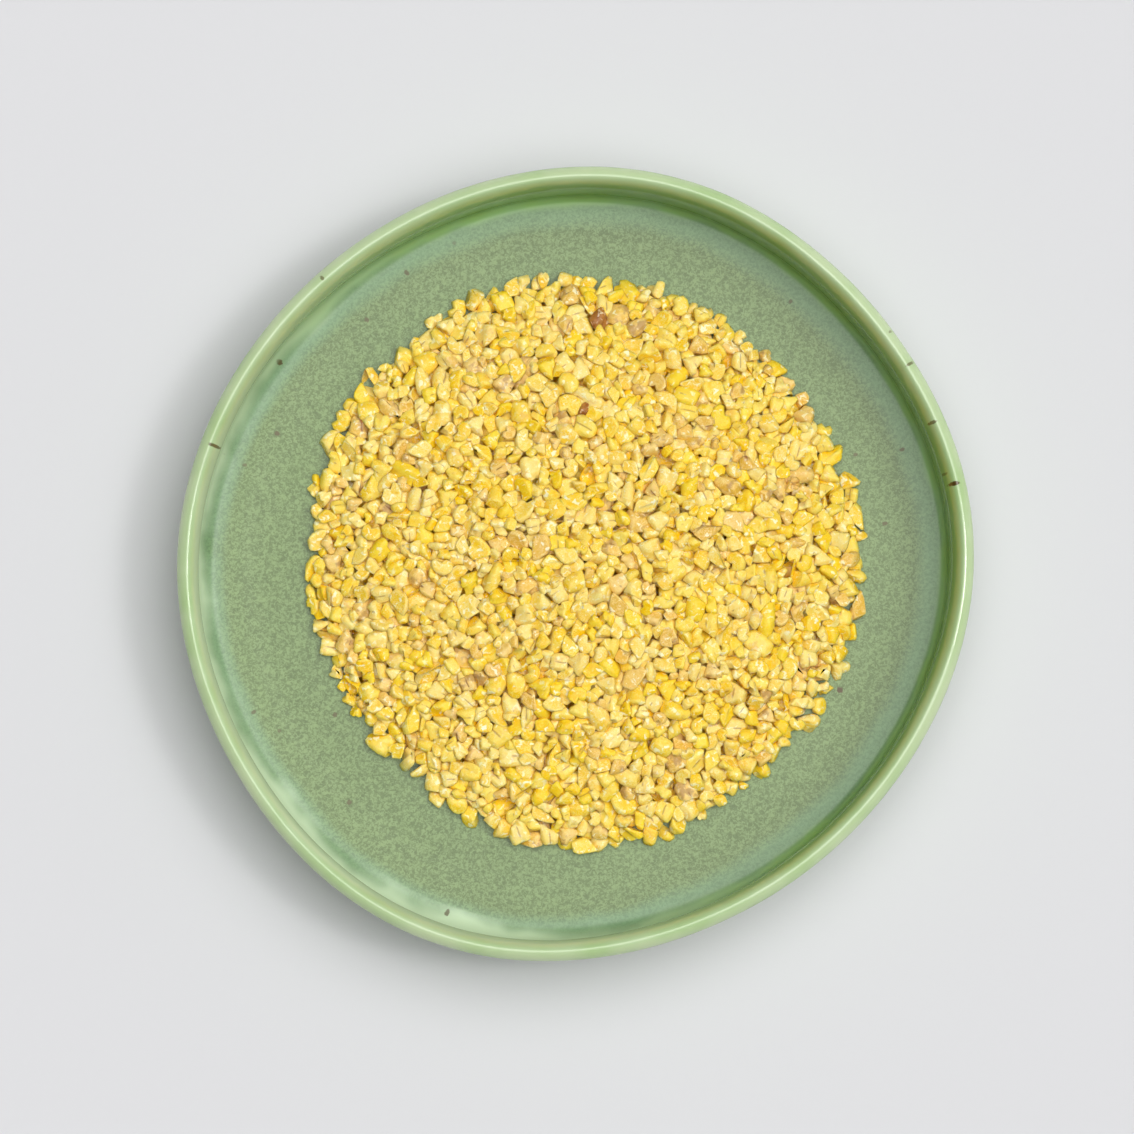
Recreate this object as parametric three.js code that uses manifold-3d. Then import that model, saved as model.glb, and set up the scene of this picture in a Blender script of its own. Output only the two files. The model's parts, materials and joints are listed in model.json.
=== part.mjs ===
// A small hand-thrown dish with a low heap of coarse bulgur wheat in it.
// Millimetres, +Z up. The origin is on the table, under the middle of the dish, and +Y is
// the top of the dish as it is looked down on.
// The dish is one pot: turned foot ring, floor, wall and rounded lip, a little out of round.
// The heap is one solid: a low mound whose top is broken into grains, with loose grains
// fused on round its foot.

import * as THREE from "three";
import { mergeVertices } from "three/addons/utils/BufferGeometryUtils.js";
import Module from "manifold-3d";

// ---- Driving dimensions of the dish ----

const rimRadius = 62.6; // mean, out to the edge of the lip
const rimHeight = 21.5;
const lipThickness = 3.6;
const lipRadius = 1.6; // of the lip's short outer curve
const lipFall = 4; // height of the lip's long inner curve
const wallUndercut = 0.3; // how far the inside of the wall leans out on its way down
const coveSize = 1.4; // of the hollow curve from the wall to the floor
const turnSize = 9; // of the outside curve from the underside to the wall
const floorHeight = 5.8; // top of the floor, above the table
const floorRise = 0.3; // of the floor, out to the hollow curve
const floorFlatRadius = 50; // the floor is flat inside this
const footRadius = 36; // outer edge of the foot ring
const footWidth = 4.2;
const footBevel = 0.6;
const footRecess = 1.5; // how deep the clay is turned away inside the foot ring
const undersideRise = 1; // from the foot ring out to the outside curve
const dishSegments = 60;

// ---- Driving dimensions of the heap ----

const heapRadius = 44.8; // mean, out to the grains at its foot
const heapHeight = 8.6; // middle of the heap, above the floor
const heapCentre = { x: 1.4, y: 1.1 };
const heapSteepness = 0.8; // below 1 the heap is rounder on top and steeper at its edge
const heapEdge = 0.3; // thickness at the edge of the mound, under its loose grains
const restGap = 0.3; // between the heap and the floor under it

const grainSize = [1.9, 2.8]; // smallest and largest distance from a grain to the next
const grainThrows = 14000; // enough to fill the plan with grains
const grainRelief = 1.3; // how far the valleys between grains lie below their tops
const facetShare = [0.6, 0.74]; // size of a grain's top facet, as a share of the grain
const facetSlope = 0.3; // steepest tilt of a facet along X and along Y
const facetLift = [-0.3, 0.4]; // of a facet above the mound's skin
const facetCrack = 0.12; // how far a facet's corners stand off its plane
const proudShare = 0.08; // of the grains, those that lie loose on top of the others
const proudLift = 0.9;

const footGrainCount = 72;
const footGrainHalf = { x: [1.3, 2.1], y: [1.1, 1.5], z: [1, 1.3] }; // half their sizes
const footGrainInset = [0.8, 1.9]; // from the heap's outline in to a grain's middle

// Waves round an outline: [how many round the dish, size in mm, angle of a crest in degrees].
const rimWaves = [[2, 0.99, 45], [3, 0.3, -4], [4, 0.53, -9], [5, 0.11, 19], [6, 0.14, 7]];
const lipWaves = [[2, 0.22, 115], [3, 0.14, 40]]; // up and down, along the lip
const heapWaves = [[2, 0.77, -76], [3, 0.28, 15], [4, 0.4, -3], [5, 0.11, -12]];

const waveAt = (waves, angle) => waves.reduce(
  (sum, [count, size, crest]) =>
    sum + size * Math.cos(count * (angle - THREE.MathUtils.degToRad(crest))),
  0,
);

// ---- Random draws, the same on every run ----

function seededRandom(seed) {
  let state = seed;
  return (low = 0, high = 1) => {
    state = (state + 0x6d2b79f5) | 0;
    let t = Math.imul(state ^ (state >>> 15), 1 | state);
    t = (t + Math.imul(t ^ (t >>> 7), 61 | t)) ^ t;
    return low + (high - low) * (((t ^ (t >>> 14)) >>> 0) / 2 ** 32);
  };
}

// ---- The dish ----

// Half of the section through the pot, from the middle of its underside, out and up over
// the lip, and back along the floor to the middle.
function dishSection() {
  const footInner = footRadius - footWidth;
  const lipTop = rimRadius - lipRadius;
  const wallInner = rimRadius - lipThickness + wallUndercut;
  const underside = footRecess + undersideRise;
  const floorEdge = floorHeight + floorRise;
  const section = new THREE.Path();
  section.moveTo(0, footRecess);
  section.lineTo(footInner - footBevel, footRecess);
  section.lineTo(footInner, 0);
  section.lineTo(footRadius - footBevel, 0);
  section.lineTo(footRadius + footBevel, footRecess);
  section.lineTo(rimRadius - turnSize, underside);
  section.bezierCurveTo(
    rimRadius - 0.45 * turnSize, underside + 0.05 * turnSize,
    rimRadius - 0.1 * turnSize, underside + 0.35 * turnSize,
    rimRadius - 0.03 * turnSize, underside + turnSize,
  );
  section.lineTo(rimRadius, rimHeight - lipRadius);
  section.absarc(lipTop, rimHeight - lipRadius, lipRadius, 0, Math.PI / 2);
  section.absellipse(
    lipTop, rimHeight - lipFall, lipThickness - lipRadius, lipFall, Math.PI / 2, Math.PI,
  );
  section.lineTo(wallInner, floorEdge + coveSize);
  section.bezierCurveTo(
    wallInner, floorEdge + 0.45 * coveSize,
    wallInner - 0.45 * coveSize, floorEdge,
    wallInner - coveSize, floorEdge,
  );
  section.lineTo(floorFlatRadius, floorHeight);
  section.lineTo(0, floorHeight);
  const divisions = { LineCurve: 1, CubicBezierCurve: 4, EllipseCurve: 4 };
  const points = section.curves.flatMap((curve) => curve.getPoints(divisions[curve.type]));
  const samePoint = 0.01;
  return points.filter((p, i) => i === 0 || p.distanceTo(points[i - 1]) > samePoint);
}

// A pot turned true on the wheel, then pushed out of round by hand. Its foot stays a true
// circle, and its lip rises and falls a little. The waves leave its widest points off the
// axis, so it is moved to stand with them centred on the origin.
function makeDish() {
  const geometry = new THREE.LatheGeometry(dishSection(), dishSegments).rotateX(Math.PI / 2);
  const position = geometry.getAttribute("position");
  for (let i = 0; i < position.count; i++) {
    const [x, y, z] = [position.getX(i), position.getY(i), position.getZ(i)];
    const angle = Math.atan2(y, x);
    const pushed = THREE.MathUtils.smoothstep(Math.hypot(x, y), footRadius, rimRadius - lipThickness);
    const lifted = THREE.MathUtils.smoothstep(z, floorHeight, rimHeight);
    const radius = Math.hypot(x, y) + pushed * waveAt(rimWaves, angle);
    const height = z + lifted * waveAt(lipWaves, angle);
    position.setXYZ(i, radius * Math.cos(angle), radius * Math.sin(angle), height);
  }
  const glaze = new THREE.MeshStandardMaterial({ color: 0x94a97a, roughness: 0.25 });
  const dish = new THREE.Mesh(geometry, glaze);
  dish.name = "dish";
  geometry.computeBoundingBox();
  const { min, max } = geometry.boundingBox;
  dish.position.set(-(min.x + max.x) / 2, -(min.y + max.y) / 2, 0);
  return dish;
}

// ---- The mound ----

const heapBase = floorHeight + restGap;
const heapOutline = (angle) => heapRadius + waveAt(heapWaves, angle);

// Height of the mound's skin above its base at a point in plan, measured from its middle.
function moundHeight(x, y) {
  const share = Math.min(1, Math.hypot(x, y) / heapOutline(Math.atan2(y, x)));
  return grainRelief + (heapHeight - grainRelief) * (1 - share ** 2) ** heapSteepness;
}

// Places for the mound's grains: thrown at random over the plan, and kept where no other
// grain is too near. Those past the outline only bound the ones inside it.
function throwGrains(random) {
  const reach = heapRadius + 3 * grainSize[1];
  const places = [];
  for (let i = 0; i < grainThrows; i++) {
    const place = { x: random(-reach, reach), y: random(-reach, reach) };
    place.size = random(...grainSize);
    const radius = Math.hypot(place.x, place.y);
    const tooNear = (other) =>
      Math.hypot(other.x - place.x, other.y - place.y) < (other.size + place.size) / 2;
    if (radius > reach || places.some(tooNear)) continue;
    place.inside = radius < heapOutline(Math.atan2(place.y, place.x)) - grainSize[1];
    places.push(place);
  }
  return places;
}

// A triangle of three places, by their numbers, with the circle through them.
function withCircle(places, a, b, c) {
  const [p, q, r] = [places[a], places[b], places[c]];
  const [qx, qy, rx, ry] = [q.x - p.x, q.y - p.y, r.x - p.x, r.y - p.y];
  const [qq, rr] = [qx * qx + qy * qy, rx * rx + ry * ry];
  const turn = 2 * (qx * ry - qy * rx);
  const [x, y] = [(ry * qq - qy * rr) / turn, (qx * rr - rx * qq) / turn];
  return { ids: [a, b, c], x: p.x + x, y: p.y + y, radius: Math.hypot(x, y) };
}

// Joins the places into triangles, none of which has another place in its circle. They are
// added one by one: the triangles whose circle holds the new place give way to a fan on it.
function triangulate(places) {
  const far = 1e4;
  const n = places.length;
  const all = [...places, { x: -far, y: -far }, { x: far, y: -far }, { x: 0, y: far }];
  let triangles = [withCircle(all, n, n + 1, n + 2)];
  places.forEach((place, id) => {
    const edges = new Map();
    const kept = [];
    for (const triangle of triangles) {
      if (Math.hypot(place.x - triangle.x, place.y - triangle.y) > triangle.radius) {
        kept.push(triangle);
      } else {
        addEdges(edges, triangle.ids);
      }
    }
    for (const [a, b] of edges.values()) kept.push(withCircle(all, a, b, id));
    triangles = kept;
  });
  return triangles.map((triangle) => triangle.ids).filter((ids) => Math.max(...ids) < n);
}

// Adds a loop's edges to a map of edges. An edge met a second time, the other way round, is
// between two loops and goes, so the outer edges of all the loops stay.
function addEdges(edges, loop) {
  loop.forEach((a, k) => {
    const b = loop[(k + 1) % loop.length];
    if (!edges.delete(`${b},${a}`)) edges.set(`${a},${b}`, [a, b]);
  });
}

// Points and outward-facing triangles, collected one by one.
class Shell {
  points = [];
  faces = [];

  add(x, y, z) {
    return this.points.push(new THREE.Vector3(x, y, z)) - 1;
  }

  geometry() {
    return new THREE.BufferGeometry().setFromPoints(this.points).setIndex(this.faces);
  }
}

// One grain of the mound: a facet with four or five corners, tilted at random, on steep
// sides down to the corners that it shares with its neighbours.
function addGrain(shell, seat, corners, random) {
  const share = random(...facetShare);
  const slope = { x: random(-facetSlope, facetSlope), y: random(-facetSlope, facetSlope) };
  const lift = random() < proudShare ? proudLift : random(...facetLift);
  const count = Math.min(corners.length, corners.length > 6 ? 5 : 4);
  const facet = Array.from({ length: count }, (_, k) => {
    const from = Math.round((k * corners.length) / count);
    const under = shell.points[corners[from]];
    const [dx, dy] = [(under.x - seat.x) * share, (under.y - seat.y) * share];
    const skin = heapBase + moundHeight(seat.x + dx, seat.y + dy);
    const z = skin + lift + slope.x * dx + slope.y * dy + random(-facetCrack, facetCrack);
    return { from, id: shell.add(seat.x + dx, seat.y + dy, z) };
  });
  facet.forEach(({ from, id }, k) => {
    const next = facet[(k + 1) % count];
    const end = next.from || corners.length;
    for (let c = from; c < end; c++) {
      shell.faces.push(corners[c], corners[(c + 1) % corners.length], id);
    }
    shell.faces.push(corners[end % corners.length], next.id, id);
    if (k > 0 && next.from) shell.faces.push(facet[0].id, id, next.id);
  });
}

// The mound as a closed shell: its grains on top, a low side down to the base, and a flat
// underside. Each triangle of places gives the corner where its three grains meet.
function moundGeometry(random) {
  const shell = new Shell();
  const places = throwGrains(random);
  const cornersOf = places.map(() => []);
  for (const ids of triangulate(places)) {
    if (!ids.some((id) => places[id].inside)) continue;
    const x = ids.reduce((sum, id) => sum + places[id].x, 0) / 3;
    const y = ids.reduce((sum, id) => sum + places[id].y, 0) / 3;
    const valley = moundHeight(x, y) - grainRelief * random(0.75, 1);
    const corner = shell.add(x, y, heapBase + Math.max(valley, heapEdge));
    ids.forEach((id) => cornersOf[id].push(corner));
  }
  const edges = new Map();
  places.forEach((seat, id) => {
    if (!seat.inside) return;
    const bearing = (c) => Math.atan2(shell.points[c].y - seat.y, shell.points[c].x - seat.x);
    const corners = cornersOf[id].sort((a, b) => bearing(a) - bearing(b));
    addGrain(shell, seat, corners, random);
    addEdges(edges, corners);
  });
  const after = new Map(edges.values());
  const outline = [[...after.keys()][0]];
  while (after.get(outline.at(-1)) !== outline[0]) outline.push(after.get(outline.at(-1)));
  const plan = outline.map((corner) => shell.points[corner]);
  const below = plan.map(({ x, y }) => shell.add(x, y, heapBase));
  outline.forEach((corner, k) => {
    const next = (k + 1) % outline.length;
    shell.faces.push(below[k], below[next], corner);
    shell.faces.push(below[next], outline[next], corner);
  });
  const flat = plan.map(({ x, y }) => new THREE.Vector2(x, y));
  for (const [a, b, c] of THREE.ShapeUtils.triangulateShape(flat, [])) {
    shell.faces.push(below[a], below[c], below[b]);
  }
  return shell.geometry();
}

// ---- The loose grains ----

// A cracked grain with few sides: a stretched twenty-sided stone with its corners knocked
// in and out, tipped a little and turned any way.
function looseGrain(random) {
  const grain = new THREE.IcosahedronGeometry(1, 0);
  grain.deleteAttribute("normal");
  grain.deleteAttribute("uv");
  const geometry = mergeVertices(grain);
  const position = geometry.getAttribute("position");
  for (let i = 0; i < position.count; i++) {
    const knock = random(0.86, 1.1);
    position.setXYZ(i, position.getX(i) * knock, position.getY(i) * knock, position.getZ(i) * knock);
  }
  const tip = Math.PI / 7;
  geometry.scale(
    random(...footGrainHalf.x),
    random(...footGrainHalf.y),
    random(...footGrainHalf.z),
  );
  geometry.rotateX(random(-tip, tip));
  geometry.rotateY(random(-tip, tip));
  geometry.rotateZ(random(0, 2 * Math.PI));
  geometry.computeBoundingBox();
  return geometry;
}

// Loose grains round the heap's foot, which rest on its base.
function footGrains(random) {
  return Array.from({ length: footGrainCount }, (_, i) => {
    const grain = looseGrain(random);
    const angle = ((i + random(-0.3, 0.3)) / footGrainCount) * 2 * Math.PI;
    const radius = heapOutline(angle) - random(...footGrainInset);
    const rise = heapBase - grain.boundingBox.min.z;
    return grain.translate(radius * Math.cos(angle), radius * Math.sin(angle), rise);
  });
}

// ---- The heap ----

const wasm = await Module();
wasm.setup();

function solidOf(geometry) {
  return new wasm.Manifold(new wasm.Mesh({
    numProp: 3,
    vertProperties: geometry.getAttribute("position").array,
    triVerts: new Uint32Array(geometry.index.array),
  }));
}

// The mound and its loose grains as one body. A grain that touches nothing is left out.
function makeBulgur() {
  const random = seededRandom(20);
  const mound = solidOf(moundGeometry(random));
  const joined = footGrains(random).reduce((heap, grain) => heap.add(solidOf(grain)), mound);
  const [heap] = joined.decompose().sort((a, b) => b.volume() - a.volume());
  const { vertProperties, triVerts } = heap.getMesh();
  const geometry = new THREE.BufferGeometry()
    .setAttribute("position", new THREE.BufferAttribute(vertProperties, 3))
    .setIndex(new THREE.BufferAttribute(triVerts, 1));
  const wheat = new THREE.MeshStandardMaterial({ color: 0xe6c557, roughness: 0.5 });
  const bulgur = new THREE.Mesh(geometry, wheat);
  bulgur.name = "bulgur";
  bulgur.position.set(heapCentre.x, heapCentre.y, 0);
  return bulgur;
}

const dishOfBulgur = new THREE.Group();
dishOfBulgur.add(makeDish(), makeBulgur());

export default dishOfBulgur;
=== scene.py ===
"""Dish of bulgur: a hand-thrown celadon dish with a low heap of coarse cracked wheat in it.

Metres, +Z up out of the dish, +Y to the side that is at the top as it is looked down on.
"""

import json
import math

import bmesh
import bpy
import numpy as np
from mathutils import Euler, Matrix, Vector

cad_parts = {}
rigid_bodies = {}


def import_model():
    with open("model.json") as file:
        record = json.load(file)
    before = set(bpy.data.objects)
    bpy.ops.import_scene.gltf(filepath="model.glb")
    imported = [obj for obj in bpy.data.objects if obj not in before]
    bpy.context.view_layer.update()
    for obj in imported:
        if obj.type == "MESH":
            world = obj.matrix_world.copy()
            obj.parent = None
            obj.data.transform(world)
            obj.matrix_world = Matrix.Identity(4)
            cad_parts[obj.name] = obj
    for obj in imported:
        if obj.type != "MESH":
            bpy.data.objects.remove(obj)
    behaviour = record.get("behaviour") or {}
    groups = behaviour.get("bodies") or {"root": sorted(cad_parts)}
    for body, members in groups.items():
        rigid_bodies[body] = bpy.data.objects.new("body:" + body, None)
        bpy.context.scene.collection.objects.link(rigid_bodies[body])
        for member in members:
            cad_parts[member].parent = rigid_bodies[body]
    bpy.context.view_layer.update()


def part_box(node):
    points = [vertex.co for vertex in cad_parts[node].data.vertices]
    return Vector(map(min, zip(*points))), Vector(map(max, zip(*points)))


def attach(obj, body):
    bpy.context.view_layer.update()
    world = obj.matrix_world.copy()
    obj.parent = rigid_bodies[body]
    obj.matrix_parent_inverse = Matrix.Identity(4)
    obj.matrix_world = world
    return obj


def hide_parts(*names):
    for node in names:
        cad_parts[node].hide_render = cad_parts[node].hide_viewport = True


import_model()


# ======== The dish ========
# One piece of stoneware, thrown on a wheel and pushed a little out of round while it was wet.
# It was dipped in a celadon glaze with specks of iron, which ran thin and pale off the lip and
# pooled turquoise in the corner of the floor. The foot ring was trimmed and wiped bare.

mm = 0.001

rim_radius = 62.6 * mm
rim_height = 21.5 * mm
floor_height = 5.8 * mm
floor_rise = 0.3 * mm
floor_flat_radius = 50 * mm
foot_radius = 36 * mm
foot_width = 4.2 * mm
foot_bevel = 0.6 * mm
foot_recess = 1.5 * mm
underside_rise = 1 * mm

# The turn from the underside into the wall, and the share of it by which the wall leans out.
turn_size = 9 * mm
wall_lean = 0.03

# The lip is short and round outside and falls in a longer curve inside. A ridge of 1 would be
# fully round, and more is sharper.
lip_thickness = 3.3 * mm
lip_radius = 1.6 * mm
lip_fall = 4 * mm
lip_ridge = 1.16

# The cove is the soft corner between wall and floor, and the undercut is how far the wall
# leans out on its way down to it. Both are wider on the lower left side.
cove_size = 1.4 * mm
wall_undercut = 0.05 * mm
wide_cove = 3.6 * mm
wide_undercut = 0.7 * mm
wide_side = math.radians(208)

# How the hand pushed the rim in and out, and up and down: count, size, angle of a crest.
rim_waves = [(2, 0.99 * mm, 45), (3, 0.3 * mm, -4), (4, 0.53 * mm, -9)]
rim_waves += [(5, 0.11 * mm, 19), (6, 0.14 * mm, 7)]
lip_waves = [(2, 0.22 * mm, 115), (3, 0.14 * mm, 40)]

# The fingers' spiral and the unevenness of the wall, which both set in over a height above
# the foot ring, so that it stays flat.
points_round = 384
throwing_marks = 0.05 * mm
throwing_pitch = 3.4 * mm
hand_unevenness = 0.22 * mm
uneven_from = (1.6 * mm, 4 * mm)


def line_of(start, end, steps):
    """Points from start up to but without end."""
    return [Vector(start).lerp(Vector(end), i / steps) for i in range(steps)]


def bend_of(start, pull_a, pull_b, end, steps):
    """Points of a soft bend from start up to but without end."""
    ends = [Vector(p) for p in (start, pull_a, pull_b, end)]
    shares = [(i / steps, 1 - i / steps) for i in range(steps)]
    return [
        ends[0] * left**3 + ends[1] * 3 * left**2 * done + ends[2] * 3 * left * done**2 + ends[3] * done**3
        for done, left in shares
    ]


def dish_section(cove, undercut):
    """Half of the section through the pot, from the middle of its underside over the lip to
    the middle of its floor, and the number of the point on top of the lip. The last number of
    a line or bend is how many points it has."""
    foot_inner = foot_radius - foot_width
    wall_inner = rim_radius - lip_thickness + undercut
    underside = foot_recess + underside_rise
    floor_edge = floor_height + floor_rise
    corner = rim_radius - turn_size
    foot = [
        (foot_inner - foot_bevel, foot_recess),
        (foot_inner, 0),
        (foot_radius - foot_bevel, 0),
        (foot_radius + foot_bevel, foot_recess),
    ]
    points = line_of((0, foot_recess), foot[0], 10)
    points += line_of(foot[0], foot[1], 2) + line_of(foot[1], foot[2], 3) + line_of(foot[2], foot[3], 2)
    points += line_of(foot[3], (corner, underside), 8)
    turn_end = (rim_radius - wall_lean * turn_size, underside + turn_size)
    points += bend_of(
        (corner, underside),
        (rim_radius - 0.45 * turn_size, underside + 0.05 * turn_size),
        (rim_radius - 0.1 * turn_size, underside + 0.35 * turn_size),
        turn_end,
        16,
    )
    points += line_of(turn_end, (rim_radius, rim_height - lip_radius), 7)
    quarter = 14
    lip_top = len(points) + quarter
    for i in range(2 * quarter):
        turn = math.pi / 2 * i / quarter
        out = math.copysign(abs(math.cos(turn)) ** lip_ridge, math.cos(turn))
        up = math.sin(turn) ** lip_ridge
        outside = i < quarter
        width = lip_radius if outside else lip_thickness - lip_radius
        fall = lip_radius if outside else lip_fall
        points.append(Vector((rim_radius - lip_radius + width * out, rim_height - fall + fall * up)))
    lip_end = (rim_radius - lip_thickness, rim_height - lip_fall)
    points += line_of(lip_end, (wall_inner, floor_edge + cove), 7)
    points += bend_of(
        (wall_inner, floor_edge + cove),
        (wall_inner, floor_edge + 0.45 * cove),
        (wall_inner - 0.45 * cove, floor_edge),
        (wall_inner - cove, floor_edge),
        9,
    )
    points += line_of((wall_inner - cove, floor_edge), (floor_flat_radius, floor_height), 6)
    points += line_of((floor_flat_radius, floor_height), (0, floor_height), 30)
    return points + [Vector((0, floor_height))], lip_top


class Wire:
    """A socket of a node tree that takes part in sums: every sign adds one Math node."""

    def __init__(self, tree, socket):
        self.tree = tree
        self.socket = socket

    def math(self, operation, first, second=None):
        sockets = {0: first} if second is None else {0: first, 1: second}
        return self.tree.node("ShaderNodeMath", {"operation": operation}, sockets)

    def __add__(self, other):
        return self.math("ADD", self, other)

    def __radd__(self, other):
        return self.math("ADD", other, self)

    def __sub__(self, other):
        return self.math("SUBTRACT", self, other)

    def __rsub__(self, other):
        return self.math("SUBTRACT", other, self)

    def __mul__(self, other):
        return self.math("MULTIPLY", self, other)

    def __rmul__(self, other):
        return self.math("MULTIPLY", other, self)

    def cosine(self):
        return self.math("COSINE", self)

    def sine(self):
        return self.math("SINE", self)

    def rise(self, low, high):
        """0 below low, 1 above high, and a soft step between them."""
        return self.tree.node(
            "ShaderNodeMapRange",
            {"interpolation_type": "SMOOTHSTEP"},
            {"Value": self, "From Min": low, "From Max": high},
        )

    def other(self, name):
        """Another output of the node that this one comes from."""
        return Wire(self.tree, self.socket.node.outputs[name])


class Tree:
    """A node tree, and the one way in which nodes are put into it."""

    def __init__(self, owner):
        self.owner = owner

    def node(self, kind, settings=None, sockets=None, out=0):
        made = self.owner.nodes.new(kind)
        for name, value in (settings or {}).items():
            setattr(made, name, value)
        for name, value in (sockets or {}).items():
            if isinstance(value, Wire):
                self.owner.links.new(value.socket, made.inputs[name])
            else:
                made.inputs[name].default_value = value
        return Wire(self, made.outputs[out]) if len(made.outputs) else None

    def blend(self, share, first, second):
        """One colour going over into another."""
        return self.node(
            "ShaderNodeMix", {"data_type": "RGBA"}, {0: share, 6: first, 7: second}, out=2
        )

    def noise(self, place, scale, detail=2.0, roughness=0.5, distortion=0.0):
        sockets = {
            "Vector": place,
            "Scale": scale,
            "Detail": detail,
            "Roughness": roughness,
            "Distortion": distortion,
        }
        return self.node("ShaderNodeTexNoise", None, sockets)

    def length(self, place):
        """How far a place is from the origin."""
        return self.node("ShaderNodeVectorMath", {"operation": "LENGTH"}, {0: place}, out="Value")

    def along(self, place, direction):
        """How far a place lies along a direction."""
        return self.node(
            "ShaderNodeVectorMath", {"operation": "DOT_PRODUCT"}, {0: place, 1: direction}, out="Value"
        )


def wave_over(angle, waves):
    """The sum of the waves at an angle that a tree works out."""
    total = 0.0
    for count, size, crest in waves:
        total = size * (angle * count - math.radians(crest) * count).cosine() + total
    return total


def new_tree(name, wanted, given):
    """An empty tree for shapes, with the named sockets that it wants and the one it gives."""
    group = bpy.data.node_groups.new(name, "GeometryNodeTree")
    for socket_name, kind in wanted.items():
        group.interface.new_socket(name=socket_name, in_out="INPUT", socket_type=kind)
    group.interface.new_socket(name=given, in_out="OUTPUT", socket_type="NodeSocketGeometry")
    tree = Tree(group)
    return tree, tree.node("NodeGroupInput")


def shaped_by(group, source, name, inputs):
    """The plain mesh that a tree makes of a source mesh, as a piece of its own."""
    holder = bpy.data.objects.new(name + "_holder", source)
    bpy.context.scene.collection.objects.link(holder)
    modifier = holder.modifiers.new("shape", "NODES")
    modifier.node_group = group
    for item in group.interface.items_tree:
        if item.in_out == "INPUT" and item.name in inputs:
            modifier[item.identifier] = inputs[item.name]
    ready = holder.evaluated_get(bpy.context.evaluated_depsgraph_get())
    mesh = bpy.data.meshes.new_from_object(ready)
    holder.modifiers.clear()
    bpy.data.objects.remove(holder)
    mesh.name = name
    piece = bpy.data.objects.new(name, mesh)
    bpy.context.scene.collection.objects.link(piece)
    return piece


def dish_tree():
    """Turns the section through a full circle, pushes it out of round and centres it."""
    tree, given = new_tree(
        "thrown dish",
        {
            "Section": "NodeSocketGeometry",
            "Points round": "NodeSocketInt",
            "Throwing marks": "NodeSocketFloat",
            "Hand unevenness": "NodeSocketFloat",
            "Glaze": "NodeSocketMaterial",
        },
        "Dish",
    )
    node = tree.node
    here = node("GeometryNodeInputPosition")
    section = given.other("Section")
    steps = node("GeometryNodeAttributeDomainSize", None, {"Geometry": section})
    sheet = node(
        "GeometryNodeMeshGrid",
        None,
        {
            "Size X": 1.0,
            "Size Y": 1.0,
            "Vertices X": given.other("Points round"),
            "Vertices Y": steps,
        },
    )
    place = node("ShaderNodeSeparateXYZ", None, {0: here})
    angle = (place + 0.5) * math.tau
    row = (place.other("Y") + 0.5) * (steps - 1)

    def at_row(kind, field):
        return node(
            "GeometryNodeSampleIndex",
            {"data_type": kind, "clamp": True},
            {"Geometry": section, "Value": field, "Index": row.math("ROUND", row)},
        )

    along = node("GeometryNodeInputNamedAttribute", {"data_type": "FLOAT"}, {"Name": "from_lip"})
    from_lip = at_row("FLOAT", along)
    wide = node("GeometryNodeInputNamedAttribute", {"data_type": "FLOAT_VECTOR"}, {"Name": "wide"})
    toward_wide = (angle - wide_side).cosine().rise(-0.5, 0.9)
    point = node(
        "ShaderNodeMix",
        {"data_type": "VECTOR"},
        {0: toward_wide, 4: at_row("FLOAT_VECTOR", here), 5: at_row("FLOAT_VECTOR", wide)},
        out=1,
    )
    radius = node("ShaderNodeSeparateXYZ", None, {0: point})
    height = radius.other("Z")
    pushed = radius.rise(foot_radius, rim_radius - lip_thickness)
    lifted = height.rise(floor_height, rim_height)
    radius = radius + pushed * wave_over(angle, rim_waves)
    height = height + lifted * wave_over(angle, lip_waves)
    turned = node(
        "ShaderNodeCombineXYZ",
        None,
        {0: radius * angle.cosine(), 1: radius * angle.sine(), 2: height},
    )
    pot = node(
        "GeometryNodeStoreNamedAttribute",
        {"data_type": "FLOAT", "domain": "POINT"},
        {"Geometry": sheet.other("Mesh"), "Name": "from_lip", "Value": from_lip},
    )
    pot = node("GeometryNodeSetPosition", None, {"Geometry": pot, "Position": turned})
    pot = node("GeometryNodeMergeByDistance", None, {"Geometry": pot, "Distance": 0.001 * mm})

    spot = node("ShaderNodeSeparateXYZ", None, {0: here})
    spin = spot.math("ARCTAN2", spot.other("Y"), spot)
    ridge = (tree.length(here) * (math.tau / throwing_pitch) + spin).sine()
    soft = tree.noise(here, 45.0, 1.0) - 0.5
    lump = tree.noise(here, 170.0, 1.0) - 0.5
    upper = spot.other("Z").rise(*uneven_from)
    swell = upper * (
        ridge * given.other("Throwing marks") * 0.5
        + soft * given.other("Hand unevenness")
        + lump * given.other("Hand unevenness") * 0.35
    )
    outward = node(
        "ShaderNodeVectorMath",
        {"operation": "SCALE"},
        {0: node("GeometryNodeInputNormal"), "Scale": swell},
    )
    pot = node("GeometryNodeSetPosition", None, {"Geometry": pot, "Offset": outward})
    box = node("GeometryNodeBoundBox", None, {"Geometry": pot})
    middle = node(
        "ShaderNodeVectorMath", {"operation": "ADD"}, {0: box.other("Min"), 1: box.other("Max")}
    )
    back = node(
        "ShaderNodeVectorMath", {"operation": "MULTIPLY"}, {0: middle, 1: (-0.5, -0.5, 0.0)}
    )
    pot = node("GeometryNodeSetPosition", None, {"Geometry": pot, "Offset": back})
    pot = node("GeometryNodeSetShadeSmooth", None, {"Geometry": pot, "Shade Smooth": True})
    pot = node("GeometryNodeRealizeInstances", None, {"Geometry": pot})
    pot = node("GeometryNodeSetMaterial", None, {"Geometry": pot, "Material": given.other("Glaze")})
    node("NodeGroupOutput", None, {0: pot})
    return tree.owner


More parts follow.
